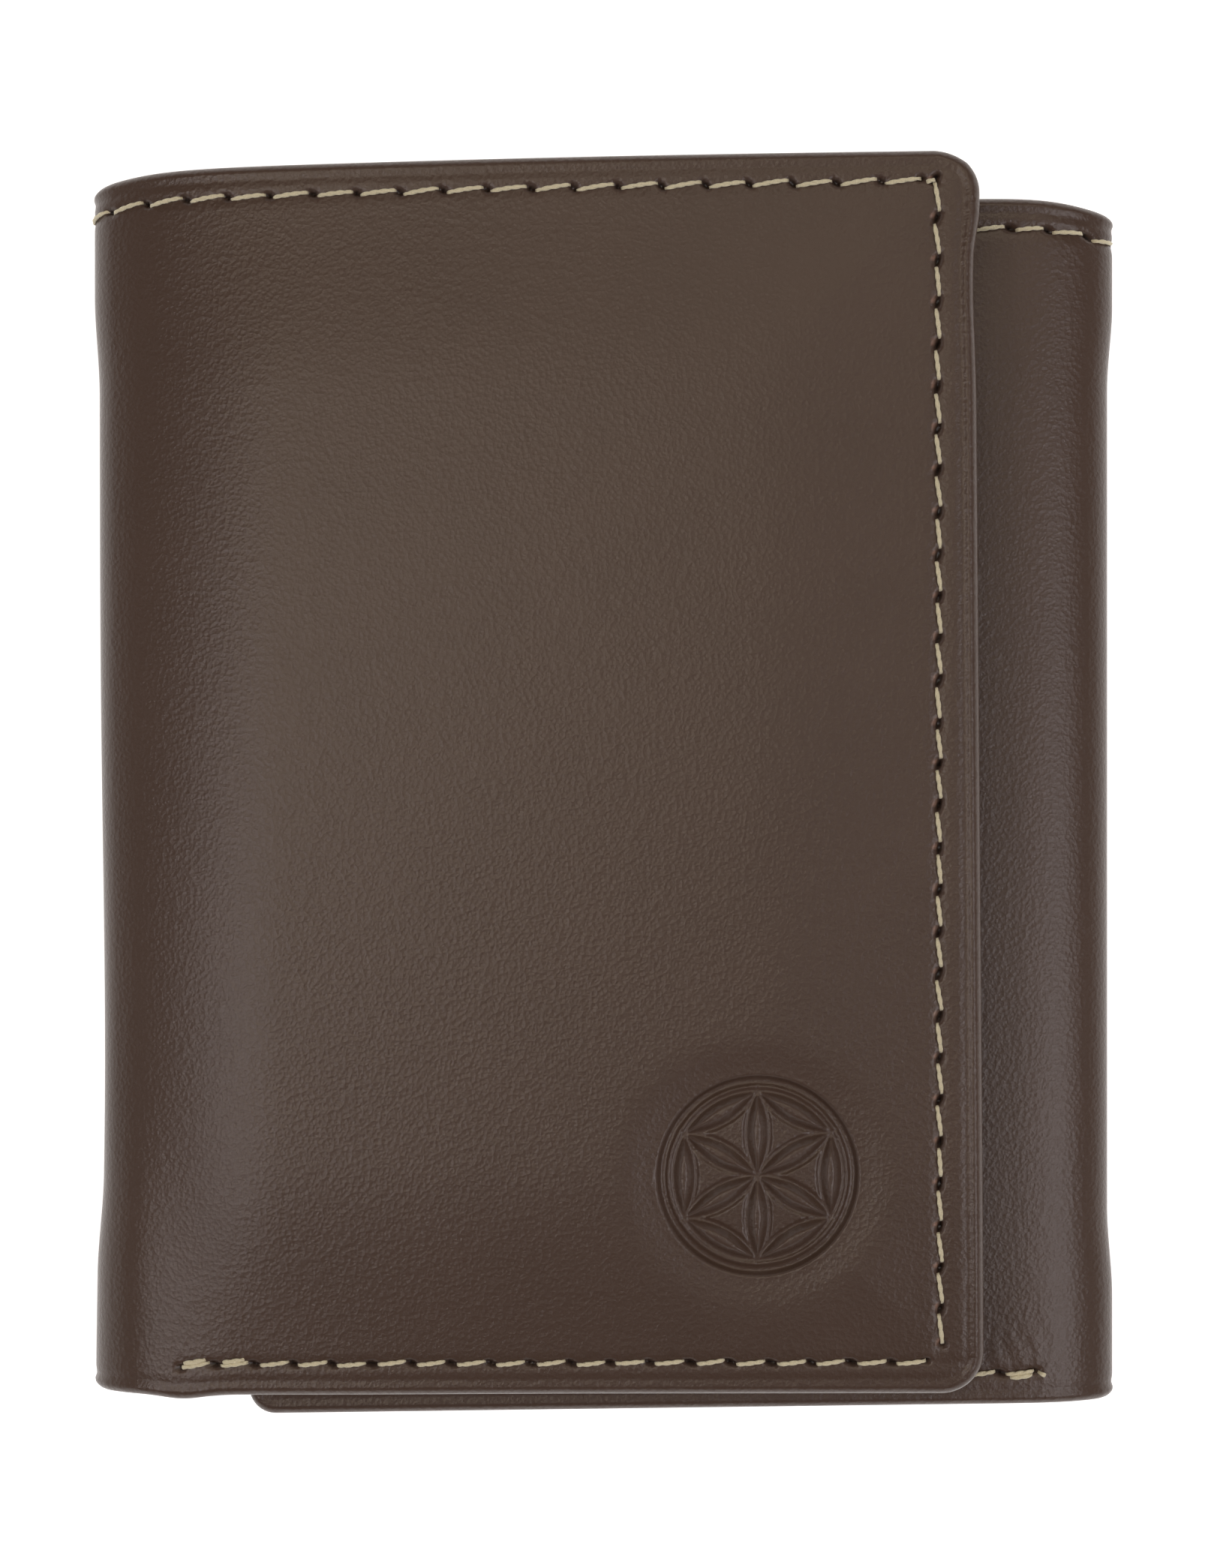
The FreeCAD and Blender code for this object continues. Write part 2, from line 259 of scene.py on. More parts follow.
def new_object(name, points_mm, polygons, uv=None, attributes=None):
    """A closed object from points in millimetres. polygons is a list of arrays of faces, each
    array with its own number of sides. uv and attributes hold one value for each point."""
    mesh = bpy.data.meshes.new(name)
    corners = np.concatenate([faces.ravel() for faces in polygons]).astype(np.int32)
    sides = np.concatenate([np.full(len(faces), faces.shape[1]) for faces in polygons])
    starts = np.concatenate([[0], np.cumsum(sides)[:-1]]).astype(np.int32)
    mesh.vertices.add(len(points_mm))
    mesh.vertices.foreach_set("co", (np.asarray(points_mm) * MM).astype(np.float32).ravel())
    mesh.loops.add(len(corners))
    mesh.loops.foreach_set("vertex_index", corners)
    mesh.polygons.add(len(starts))
    mesh.polygons.foreach_set("loop_start", starts)
    if uv is not None:
        layer = mesh.uv_layers.new(name="strip")
        layer.data.foreach_set("uv", np.asarray(uv)[corners].astype(np.float32).ravel())
    for key, values in (attributes or {}).items():
        attribute = mesh.attributes.new(key, "FLOAT", "POINT")
        attribute.data.foreach_set("value", np.asarray(values, np.float32))
    mesh.update()
    builder = bmesh.new()
    builder.from_mesh(mesh)
    bmesh.ops.remove_doubles(builder, verts=builder.verts, dist=2e-7)
    bmesh.ops.recalc_face_normals(builder, faces=builder.faces)
    builder.to_mesh(mesh)
    builder.free()
    mesh.shade_smooth()
    mesh.set_sharp_from_angle(angle=math.radians(60))
    obj = bpy.data.objects.new(name, mesh)
    bpy.context.collection.objects.link(obj)
    return obj


def grid_faces(rows, columns):
    index = np.arange(rows * columns).reshape(rows, columns)
    corners = [index[:-1, :-1], index[:-1, 1:], index[1:, 1:], index[1:, :-1]]
    return np.stack(corners, -1).reshape(-1, 4)


def spaced(low, high, step, fine=()):
    """Values from low to high, step apart, with the stretches in fine (from, to, step) closer."""
    values = [low]
    while values[-1] < high - 1e-9:
        here, size = values[-1], step
        for start, end, fine_step in fine:
            if start - 1e-9 <= here < end:
                size = min(size, fine_step)
            elif here < start:
                size = min(size, max(start - here, fine_step))
        values.append(min(here + size, high))
    return np.array(values)


def rounded_ends(values, radius, at_low=True, at_high=True, steps=5):
    """Adds lines close to an end so that a rounded edge has a smooth profile."""
    turns = radius * (1 - np.cos(np.linspace(0, math.pi / 2, steps + 1)))
    low, high = values[0], values[-1]
    clear = radius * 1.15
    if at_low:
        values = np.concatenate([low + turns, values[values > low + clear]])
    if at_high:
        values = np.concatenate([values[values < high - clear], high - turns[::-1]])
    return values


def thinned(lines, every, border=4.5):
    """The numbers of the grid lines that a sheet's hidden face keeps."""
    numbers = np.arange(len(lines))
    near_end = np.minimum(lines - lines[0], lines[-1] - lines) < border
    return numbers[near_end | (numbers % every == 0) | (numbers == len(lines) - 1)]


def edge_drop(distance, radius):
    """How far a rounded edge falls below the face, at a distance in from the outline."""
    inside = np.clip(radius - distance, 0, radius)
    return radius - np.sqrt(np.maximum(radius ** 2 - inside ** 2, 0))


def wall_faces(outer_rim, inner_rim, kept):
    """Faces that join a fine rim to a rim that keeps only some of its points."""
    faces = {}
    stops = np.append(kept, len(outer_rim))
    for number in range(len(kept)):
        between = range(stops[number], stops[number + 1] + 1)
        fine = [outer_rim[at % len(outer_rim)] for at in between]
        face = fine + [inner_rim[(number + 1) % len(inner_rim)], inner_rim[number]]
        faces.setdefault(len(face), []).append(face)
    return [np.array(group) for group in faces.values()]


def rim_of(rows, columns):
    """The border of a grid, once round."""
    index = np.arange(rows * columns).reshape(rows, columns)
    return np.concatenate([index[0], index[1:, -1], index[-1, -2::-1], index[-2:0:-1, 0]])


def ear(below_head, reach=0.4, waist=0.2):
    """How far a flap's free edge swells out at its top corner, and draws in just under it."""
    return reach * (1 - smooth((below_head - 5) / 4)) - waist * bump(below_head - 12, 5.0)


def slab(name, leaf, us, vs, thickness, depth=0.0, relief=None, corner=0.0, free="end",
         round_fold=True, lean=0.0, radius=None, masks=None, every=1, eared=False):
    """A closed sheet on a leaf, rounded at its outline, with relief pressed into its outer face.

    us and vs are the grid's lines and free names the end of us that is the sheet's free end, which
    may have round corners, lean, or be eared. round_fold rounds the other end too. every thins
    out the lines of the hidden face. masks are values painted on the outer face."""
    low_u, high_u, low_v, high_v = us[0], us[-1], vs[0], vs[-1]
    u, v = np.meshgrid(us, vs)
    along = u - low_u if free == "start" else high_u - u
    across = np.minimum(v - low_v, high_v - v)
    distance = across if free is None else np.minimum(along, across)
    if round_fold:
        distance = np.minimum(distance, high_u - low_u - along)
    reach_u, reach_v = corner - along, corner - across
    inside = (reach_u > 0) & (reach_v > 0)
    square = np.maximum(reach_u, reach_v) / np.maximum(np.hypot(reach_u, reach_v), 1e-9)
    shrink = np.where(inside, square, 1.0)
    outward = -1.0 if free == "start" else 1.0
    u = np.where(inside, u + outward * reach_u * (shrink - 1), u)
    v = np.where(inside, v + np.sign(v - (low_v + high_v) / 2) * reach_v * (shrink - 1), v)
    u = u + leaf.side * v * lean * np.clip(1 - along / (high_u - low_u), 0, 1) ** 2
    if eared:
        u = u + ear(high_v - v) * np.clip(1 - along / 3.0, 0, 1)

    thick = thickness(distance) if callable(thickness) else np.full(u.shape, float(thickness))
    radius = thick.min() / 2 if radius is None else radius
    drop = edge_drop(distance, radius)
    pressed = relief(u, v, distance) * np.clip(distance / radius, 0, 1) if relief else 0.0
    outer = leaf.place(u, v, depth + drop + pressed)
    rows, columns = thinned(vs, every), thinned(us, every)
    pick = np.ix_(rows, columns)
    inner_drop = edge_drop(distance, np.minimum(radius, thick - radius))
    inner = leaf.place(u[pick], v[pick], (depth + thick - inner_drop)[pick])

    count = u.size
    rim, inner_rim = rim_of(*u.shape), rim_of(len(rows), len(columns)) + count
    place_in_rim = {int(point): number for number, point in enumerate(rim)}
    grid = np.arange(count).reshape(u.shape)[pick].ravel()
    kept = [place_in_rim[int(grid[point - count])] for point in inner_rim]
    polygons = [grid_faces(*u.shape), grid_faces(len(rows), len(columns)) + count]
    polygons += wall_faces(rim, inner_rim, np.array(kept))
    points = np.concatenate([outer.reshape(-1, 3), inner.reshape(-1, 3)])
    uv = np.stack([leaf.strip_u(u), v], -1)
    uv = np.concatenate([uv.reshape(-1, 2), uv[pick].reshape(-1, 2) + (0.0, 300.0)]) * UV_PER_MM
    unpainted = np.zeros(len(rows) * len(columns))
    painted = {key: np.concatenate([mask(u, v).ravel(), unpainted])
               for key, mask in (masks or {}).items()}
    return new_object(name, points, polygons, uv, painted)


# ---- Stitches ----

class Stitch:
    """One stitch, from (u, v) to (u, v) on a leaf."""

    def __init__(self, start, end, rise=0.13):
        self.start = np.array(start, float)
        self.end = np.array(end, float)
        self.rise = rise


def stitch_mesh(name, leaf, stitches, depth=0.0, facing=1):
    """Two-ply twisted thread for each stitch, dipping into the sheet at both ends."""
    samples, sides, turns_per_mm = 15, 7, 0.6
    ply_radius, ply_offset = STITCH_RADIUS * 0.78, STITCH_RADIUS * 0.3
    angles = np.linspace(0, 2 * math.pi, sides, endpoint=False)
    t = np.linspace(0, 1, samples)
    arch = np.sin(math.pi * t)
    taper = 0.62 + 0.38 * np.sin(math.pi * np.clip(t, 0.04, 0.96)) ** 0.5
    ring = np.arange((samples - 1) * sides).reshape(samples - 1, sides)
    around = np.roll(ring, -1, axis=1)
    tube = np.stack([ring, around, around + sides, ring + sides], -1).reshape(-1, 4)
    caps = np.stack([np.arange(sides)[::-1], np.arange(sides) + (samples - 1) * sides])
    points, tubes, ends = [], [], []
    for item in stitches:
        line = item.start + (item.end - item.start) * t[:, None]
        size = np.linalg.norm(item.end - item.start)
        cross = np.array([item.start[1] - item.end[1], item.end[0] - item.start[0]]) / size
        lift = item.rise * arch ** 0.45 - 0.34 * (1 - arch ** 0.3)
        twist = rng.uniform(0, 2 * math.pi)
        for ply in range(2):
            phase = twist + ply * math.pi + 2 * math.pi * turns_per_mm * size * t
            sway = ply_offset * np.cos(phase) * taper
            heave = lift + ply_offset * 0.8 * np.sin(phase) * taper
            out = ply_radius * taper[:, None] * np.cos(angles)
            up = ply_radius * taper[:, None] * np.sin(angles)
            flat = line[:, None, :] + cross * (sway[:, None] + out)[:, :, None]
            start = len(points) * samples * sides
            tubes.append(tube + start)
            ends.append(caps + start)
            raised = (heave[:, None] + up)[:, :, None]
            points.append(np.concatenate([flat, raised], -1).reshape(-1, 3))
    flat = np.concatenate(points)
    placed = leaf.place(flat[:, 0], flat[:, 1], depth - facing * flat[:, 2])
    polygons = [np.concatenate(tubes), np.concatenate(ends)]
    return new_object(name, placed, polygons, flat[:, :2] * UV_PER_MM)


def row(start, end, pitch, length, slant, jitter=0.06):
    """Stitches from one (u, v) to another. slant is how far each turns off the row, as a slope."""
    start, end = np.array(start, float), np.array(end, float)
    total = np.linalg.norm(end - start)
    along = (end - start) / total
    cross = np.array([-along[1], along[0]])
    count = int(round(total / pitch))
    pitch = total / count
    stitches = []
    for number in range(count):
        middle = start + along * ((number + 0.5) * pitch + rng.normal(0, jitter))
        size = length + rng.normal(0, jitter)
        slope = slant + rng.normal(0, 0.02)
        off = cross * rng.normal(0, 0.03)
        half = (along + cross * slope) * size / 2
        stitches.append(Stitch(middle - half + off, middle + half + off))
    return stitches


# ---- Where the rows of stitches run ----

HEM_V = HALF_HEIGHT - HEM_INSET
FOOT_V = FOOT_INSET - HALF_HEIGHT


def front_u(x):
    """u on the front leaf at an x."""
    return float(np.interp(x, FRONT_RUN.points[:, 0], FRONT_RUN.length))


def inner_u(x):
    """u on the right leaf at an x of the inner flap."""
    beyond = RIGHT_RUN.length > FOLD_U
    return float(np.interp(-x, -RIGHT_RUN.points[beyond, 0], RIGHT_RUN.length[beyond]))


FRONT_EDGE_U = FRONT_LENGTH - EDGE_INSET
INNER_EDGE_U = RIGHT_LENGTH - EDGE_INSET
FRONT_FOOT_U = front_u(-36.9)
INNER_FOOT_U = inner_u(38.1)


def lean_u(u, v, side):
    """u of a row of stitches along a free edge, which leans."""
    return u + side * v * ROW_LEAN


def row_to_edge(from_u, v, edge_u, side, short, **size):
    """A row along the head or foot that stops short of the row down a free edge."""
    return row((from_u, v), (lean_u(edge_u, v, side) - short, v), **size)


def edge_row(edge_u, side, above_hem, pitch, slant):
    """The row down a free edge, from the head's row to just above the foot's."""
    return row((lean_u(edge_u, HEM_V, side), HEM_V + above_hem),
               (lean_u(edge_u, FOOT_V, side), FOOT_V + 1.0), pitch=pitch, length=2.55, slant=slant)


BACK_HEM_ROW = {"pitch": 3.82, "length": 3.05, "slant": 0.12}
FOOT_ROW = {"pitch": 3.4, "length": 2.5, "slant": 0.12}
front_hem = row_to_edge(0.6, HEM_V, FRONT_EDGE_U, -1, 1.0, pitch=3.82, length=3.1, slant=0.14)
front_foot = row_to_edge(FRONT_FOOT_U, FOOT_V, FRONT_EDGE_U, -1, 0.7, **FOOT_ROW)
front_edge = edge_row(FRONT_EDGE_U, -1, 0.4, 3.54, 0.14)
inner_hem = row_to_edge(FOLD_U + 0.6, HEM_V, INNER_EDGE_U, 1, 1.0,
                        pitch=3.45, length=2.65, slant=-0.13)
inner_foot = row_to_edge(INNER_FOOT_U, FOOT_V, INNER_EDGE_U, 1, 0.7,
                         pitch=3.4, length=2.5, slant=-0.12)
inner_edge = edge_row(INNER_EDGE_U, 1, -0.4, 3.58, -0.14)
back_left_hem = row((1.0, HEM_V), (BACK_LEFT_LENGTH, HEM_V), **BACK_HEM_ROW)
back_right_hem = row((0.4, HEM_V), (FOLD_U - 0.6, HEM_V), **BACK_HEM_ROW)
back_left_foot = row((BACK_LEFT_LENGTH - BACK_FOOT_LEFT, FOOT_V), (BACK_LEFT_LENGTH, FOOT_V),
                     **FOOT_ROW)
back_right_foot = row((0.0, FOOT_V), (BACK_FOOT_RIGHT, FOOT_V), **FOOT_ROW)

# The thread turns the corner with one short stitch, and is sewn twice where a row begins.
corner_u = lean_u(FRONT_EDGE_U, HEM_V, -1)
corner_stitches = [Stitch((corner_u - 0.95, HEM_V - 0.1), (corner_u - 0.15, HEM_V + 0.1), 0.16)]
front_tacks = [Stitch(item.start + (0.15, 0.33), item.end + (-0.2, 0.28), 0.2)
               for item in front_foot[:2]]
inner_start = inner_foot[0].start
inner_tacks = [Stitch(inner_start + (0.1, -0.34), inner_foot[0].end + (-0.3, -0.3), 0.2),
               Stitch(inner_start + (-0.35, -0.1), inner_start + (-1.0, -0.45), 0.25)]


def holes_between(stitches):
    """The needle holes of a row: (u, v, half length, direction)."""
    holes = []
    for before, after in zip(stitches[:-1], stitches[1:]):
        middle = (before.end + after.start) / 2
        gap = after.start - before.end
        holes.append((middle[0], middle[1], np.linalg.norm(gap) / 2, math.atan2(gap[1], gap[0])))
    first, last = stitches[0].start, stitches[-1].end
    return holes + [(first[0], first[1], 0.25, 0.0), (last[0], last[1], 0.25, 0.0)]


def near_holes(u, v, holes, half_width, reach):
    """1 in a needle hole, falling to 0 round it."""
    total = np.zeros_like(u)
    for hole_u, hole_v, half, angle in holes:
        near = (np.abs(u - hole_u) < 1.8) & (np.abs(v - hole_v) < 1.8)
        du, dv = u[near] - hole_u, v[near] - hole_v
        along = du * math.cos(angle) + dv * math.sin(angle)
        cross = dv * math.cos(angle) - du * math.sin(angle)
        size = (along / (half + reach)) ** 2 + (cross / half_width) ** 2
        total[near] = np.maximum(total[near], np.exp(-size ** 2))
    return total


edge_holes = holes_between(front_edge)
front_holes = holes_between(front_hem) + holes_between(front_foot) + edge_holes
front_holes.append((corner_u - 0.1, HEM_V + 0.4, 0.3, 0.6))
right_holes = (holes_between(inner_hem) + holes_between(inner_foot) + holes_between(inner_edge)
               + holes_between(back_right_hem) + holes_between(back_right_foot))
back_left_holes = holes_between(back_left_hem) + holes_between(back_left_foot)


# ---- Relief of the leather: positive is pressed in, in millimetres ----

ROUNDEL_U = FRONT_LENGTH - ROUNDEL_INSET
ROUNDEL_V = ROUNDEL_INSET - HALF_HEIGHT


def ridge_line(distance, width, soft=0.12):
    """1 inside a line's half width, falling to 0 over soft."""
    return 1 - smooth((np.abs(distance) - width) / soft)


def lens(du, dv, reach, first, second):
    """How far inside two circles of one size a point is. first and second are their centres."""
    depths = [reach - np.hypot(du - x, dv - y) for x, y in (first, second)]
    return np.minimum(*depths)


def roundel(u, v):
    """A plain pressed-in roundel with a compass rosette: six petals, and six lenses at its rim."""
    du, dv = u - ROUNDEL_U, v - ROUNDEL_V
    radius = np.hypot(du, dv)
    field = 1 - smooth((radius - ROUNDEL_RADIUS) / 0.35)
    reach = 7.2
    shapes = np.full_like(u, -1.0)
    for number in range(6):
        turn = math.pi / 6 + number * math.pi / 3
        centres = [(reach * math.cos(turn + offset), reach * math.sin(turn + offset))
                   for offset in (-math.pi / 3, math.pi / 3)]
        shapes = np.maximum(shapes, lens(du, dv, reach, *centres))
        far = math.sqrt(3) * reach
        beyond = (far * math.cos(turn + math.pi / 6), far * math.sin(turn + math.pi / 6))
        shapes = np.maximum(shapes, lens(du, dv, reach, (0.0, 0.0), beyond))
    raised = smooth((shapes - 0.1) / 0.7)
    cut = ridge_line(shapes + 0.02, 0.1, 0.2)
    ring = ridge_line(radius - ROUNDEL_RADIUS + 0.25, 0.15, 0.3)
    inside = 0.42 + 0.16 * cut - 0.52 * raised + 0.22 * ring
    dent = 0.34 * bump(np.maximum(radius - ROUNDEL_RADIUS, 0), 2.3)
    return field * inside + dent


def sewn_edge(distance):
    """The rolled bead at a turned edge and the dip behind it."""
    return 0.09 * bump(distance - 1.25, 0.38) - 0.1 * bump(distance - 0.6, 0.42)


def front_relief(u, v, distance):
    on_panel = smooth((u - 8) / 12)
    pillow = -0.5 * smooth((distance - 2.5) / 17) * on_panel
    edge_line = lean_u(FRONT_EDGE_U, v, -1) - u
    sewn = (bump(v - HEM_V, SEWN_WIDTH) * (edge_line > -0.3)
            + bump(v - FOOT_V, SEWN_WIDTH) * (u > FRONT_FOOT_U))
    sewn = np.maximum(sewn, bump(edge_line, SEWN_WIDTH) * (np.abs(v) < -FOOT_V))
    groove = 0.07 * np.clip(sewn, 0, 1)
    holes = 0.5 * near_holes(u, v, front_holes, HOLE_HALF_WIDTH, HOLE_REACH)
    return pillow + groove + holes + sewn_edge(distance) + roundel(u, v)


def right_relief(u, v, distance):
    pillow = -0.25 * smooth((distance - 2.5) / 15) * smooth((u - FOLD_U - 5) / 14)
    pillow = pillow + 0.2 * smooth((distance - 4) / 12) * smooth((FOLD_U - 8 - u) / 14)
    with_foot_row = (u > INNER_FOOT_U) | (u < BACK_FOOT_RIGHT)
    sewn = bump(v - HEM_V, SEWN_WIDTH) + bump(v - FOOT_V, SEWN_WIDTH) * with_foot_row
    groove = 0.13 * np.clip(sewn, 0, 1)
    holes = 0.5 * near_holes(u, v, right_holes, HOLE_HALF_WIDTH, HOLE_REACH)
    near_foot = bump(v - FOOT_V - 1.2, 3.2) * (u > FOLD_U) * smooth((u - INNER_FOOT_U + 3) / 3)
    puckers = 0.02 * near_foot * np.sin(2 * math.pi * u / 1.4 + 2.5 * np.sin(0.9 * v + 0.7 * u))
    return pillow + groove + holes + puckers + sewn_edge(distance)


def back_left_relief(u, v, distance):
    pillow = 0.2 * smooth((distance - 4) / 12) * smooth((u - 16) / 14)
    with_foot_row = u > BACK_LEFT_LENGTH - BACK_FOOT_LEFT
    sewn = bump(v - HEM_V, SEWN_WIDTH) + bump(v - FOOT_V, SEWN_WIDTH) * with_foot_row
    holes = 0.4 * near_holes(u, v, back_left_holes, 0.3, 0.14)
    return pillow + 0.13 * np.clip(sewn, 0, 1) + holes + sewn_edge(distance)


def painted_hole_shade(holes):
    """A function that is 1 where shade is painted near black into each of these holes."""
    return lambda u, v: near_holes(u, v, holes, HOLE_SHADE_HALF_WIDTH, HOLE_SHADE_REACH)


def frays(u, v):
    """Torn fibres at the upper left of each hole down the front flap's edge."""
    lifted = [(hole[0] - 0.38, hole[1] + 0.22, 0.02, 1.2) for hole in edge_holes]
    return near_holes(u, v, lifted, 0.17, 0.2)


# ---- Materials ----

def nodes_of(name):
    material = bpy.data.materials.new(name)
    material.use_nodes = True
    tree = material.node_tree
    return material, tree, tree.nodes["Principled BSDF"]


def add(tree, kind, **values):
    """A node with its properties and inputs set by name, or i and a number. A socket is linked."""
    node = tree.nodes.new("ShaderNode" + kind)
    for key, value in values.items():
        if hasattr(node, key):
            setattr(node, key, value)
            continue
        numbered = key[0] == "i" and key[1:].isdigit()
        socket = node.inputs[int(key[1:]) if numbered else key]
        if isinstance(value, bpy.types.NodeSocket):
            tree.links.new(value, socket)
        else:
            socket.default_value = value
    return node


def strip_vector(tree, stretch=(1.0, 1.0, 1.0)):
    """The strip's own coordinates, so that the grain stays on the leather round the folds."""
    pin = add(tree, "UVMap", uv_map="strip")
    return add(tree, "Mapping", Vector=pin.outputs["UV"], Scale=stretch).outputs["Vector"]


def mix_colour(tree, factor, first, second):
    mix = add(tree, "Mix", data_type="RGBA", i0=factor, i6=first, i7=second)
    return mix.outputs[2]


def dress(tree, shader, tone, bumps):
    """Gives a shader its colour and its bumps."""
    tree.links.new(tone, shader.inputs["Base Color"])
    tree.links.new(bumps.outputs["Normal"], shader.inputs["Normal"])


def leather(name, colour, deep, roughness=0.3, sewn=True):
    material, tree, shader = nodes_of(name)
    vector = strip_vector(tree)
    grain = add(tree, "TexVoronoi", Vector=vector, Scale=260.0, Randomness=1.0)
    pores = add(tree, "TexNoise", Vector=vector, Scale=620.0, Detail=3.0, Roughness=0.6)
    cloud = add(tree, "TexNoise", Vector=vector, Scale=9.0, Detail=4.0, Roughness=0.55)
    wrinkle_vector = strip_vector(tree, (38.0, 130.0, 1.0))
    wrinkles = add(tree, "TexNoise", Vector=wrinkle_vector, Scale=1.0, Detail=2.0, Distortion=0.8)

    both = add(tree, "Math", operation="ADD", i0=cloud.outputs["Fac"], i1=pores.outputs["Fac"])
    shade = add(tree, "Math", operation="MULTIPLY", i0=both.outputs["Value"], i1=0.5)
    tone = mix_colour(tree, shade.outputs["Value"], deep, colour)
    if sewn:
        hole_shade = add(tree, "Attribute", attribute_name="hole_shade").outputs["Fac"]
        fray = add(tree, "Attribute", attribute_name="fray").outputs["Fac"]
        tone = mix_colour(tree, fray, tone, (0.24, 0.135, 0.095, 1.0))
        # Painted shade: each needle hole is coloured near black where its own shade would fall.
        tone = mix_colour(tree, hole_shade, tone, (0.004, 0.002, 0.0015, 1.0))

    limits = {"To Min": roughness - 0.05, "To Max": roughness + 0.07}
    spread = add(tree, "MapRange", Value=pores.outputs["Fac"], **limits)
    tree.links.new(spread.outputs["Result"], shader.inputs["Roughness"])
    fine = add(tree, "Bump", Height=pores.outputs["Fac"], Strength=0.4, Distance=0.00006)
    cells = add(tree, "Bump", Height=grain.outputs["Distance"], Strength=0.35, Distance=0.00008,
                Normal=fine.outputs["Normal"])
    creased = add(tree, "Bump", Height=wrinkles.outputs["Fac"], Strength=0.04, Distance=0.00025,
                  Normal=cells.outputs["Normal"])
    dress(tree, shader, tone, creased)
    shader.inputs["Specular IOR Level"].default_value = 0.4
    return material


def thread_material():
    material, tree, shader = nodes_of("khaki_thread")
    vector = strip_vector(tree)
    fibre = add(tree, "TexNoise", Vector=vector, Scale=900.0, Detail=3.0)
    tone = mix_colour(tree, fibre.outputs["Fac"], (0.46, 0.40, 0.26, 1.0), (0.80, 0.73, 0.52, 1.0))
    fuzz = add(tree, "Bump", Height=fibre.outputs["Fac"], Strength=0.3, Distance=0.00005)
    dress(tree, shader, tone, fuzz)
    shader.inputs["Roughness"].default_value = 0.6
    shader.inputs["Sheen Weight"].default_value = 0.3
    return material


def woven(name, colour, dark):
    material, tree, shader = nodes_of(name)
    vector = strip_vector(tree)
    warp = add(tree, "TexWave", Vector=vector, Scale=120.0, bands_direction="X")
    weft = add(tree, "TexWave", Vector=vector, Scale=120.0, bands_direction="Y")
    weave = add(tree, "Math", operation="MULTIPLY", i0=warp.outputs["Fac"], i1=weft.outputs["Fac"])
    tone = mix_colour(tree, weave.outputs["Value"], dark, colour)
    raised = add(tree, "Bump", Height=weave.outputs["Value"], Strength=0.4, Distance=0.0001)
    dress(tree, shader, tone, raised)
    shader.inputs["Roughness"].default_value = 0.8
    shader.inputs["Sheen Weight"].default_value = 0.25
    return material


def clear_film():
    material, tree, shader = nodes_of("clear_film")
    vector = strip_vector(tree)
    ripple = add(tree, "TexNoise", Vector=vector, Scale=6.0, Detail=2.0)
    waves = add(tree, "Bump", Height=ripple.outputs["Fac"], Strength=0.25, Distance=0.0006)
    tone = mix_colour(tree, ripple.outputs["Fac"], (0.80, 0.84, 0.84, 1.0), (0.9, 0.93, 0.93, 1.0))
    dress(tree, shader, tone, waves)
    shader.inputs["Roughness"].default_value = 0.08
    shader.inputs["Alpha"].default_value = 0.25
    return material


SHELL_BROWN, SHELL_DEEP = (0.084, 0.0515, 0.038, 1.0), (0.060, 0.0365, 0.0262, 1.0)
shell_material = leather("shell_leather_brown", SHELL_BROWN, SHELL_DEEP)
pocket_material = leather("pocket_leather_brown", (0.055, 0.034, 0.023, 1.0),
                          (0.045, 0.027, 0.018, 1.0), 0.5, sewn=False)
lining_material = woven("lining_weave", (0.045, 0.033, 0.026, 1.0), (0.018, 0.013, 0.010, 1.0))
board_material = woven("interlining_fibre", (0.5, 0.46, 0.38, 1.0), (0.38, 0.34, 0.28, 1.0))
thread_finish = thread_material()
film_material = clear_film()


def finish(obj, material, slot, body, *nodes):
    obj.data.materials.append(material)
    if body:
        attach(obj, body)
    if nodes:
        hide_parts(*nodes)
    return obj


# ---- The shell ----

def shell_thickness(distance):
    return HEM_THICK - (HEM_THICK - LEATHER) * smooth((distance - HEM_WIDTH) / 0.5)


EDGE_ROUND = HEM_THICK / 2
STEP = 0.3
FINE = 0.2


def strip_rows(fine_rows=()):
    bands = [(FOOT_V - 0.9, FOOT_V + 0.9, FINE), (HEM_V - 0.9, HEM_V + 0.9, FINE)]
    values = spaced(-HALF_HEIGHT, HALF_HEIGHT, STEP, sorted(bands + list(fine_rows)))
    return rounded_ends(values, EDGE_ROUND)


def make_front_shell():
    size = ROUNDEL_RADIUS + 0.5
    detail = 0.13
    us = spaced(0, FRONT_LENGTH, STEP, [(ROUNDEL_U - size, ROUNDEL_U + size, detail),
                                        (FRONT_EDGE_U - 1.1, FRONT_LENGTH, FINE)])
    vs = strip_rows([(ROUNDEL_V - size, ROUNDEL_V + size, detail)])
    us = rounded_ends(us, EDGE_ROUND, at_low=False)
    masks = {"hole_shade": painted_hole_shade(front_holes), "fray": frays}
    return slab("front_shell", FRONT, us, vs, shell_thickness, relief=front_relief,
                corner=FRONT_CORNER, round_fold=False, lean=LEAN, radius=EDGE_ROUND, masks=masks,
                every=5, eared=True)


def make_right_shell():
    us = spaced(0, RIGHT_LENGTH, 2 * STEP, [(FOLD_U - 3, inner_u(29.0), STEP),
                                            (INNER_EDGE_U - 1.1, RIGHT_LENGTH, STEP)])
    us = rounded_ends(us, EDGE_ROUND, at_low=False)
    return slab("right_shell", RIGHT, us, strip_rows(), shell_thickness, relief=right_relief,
                corner=INNER_CORNER, round_fold=False, lean=LEAN, radius=EDGE_ROUND,
                masks={"hole_shade": painted_hole_shade(right_holes)}, every=4)


def make_back_left_shell():
    us = spaced(0, BACK_LEFT_LENGTH, 2 * STEP, [(0, 9, STEP)])
    return slab("back_left_shell", BACK_LEFT, us, strip_rows(), shell_thickness,
                relief=back_left_relief, free=None, round_fold=False, radius=EDGE_ROUND,
                masks={"hole_shade": painted_hole_shade(back_left_holes)}, every=4)


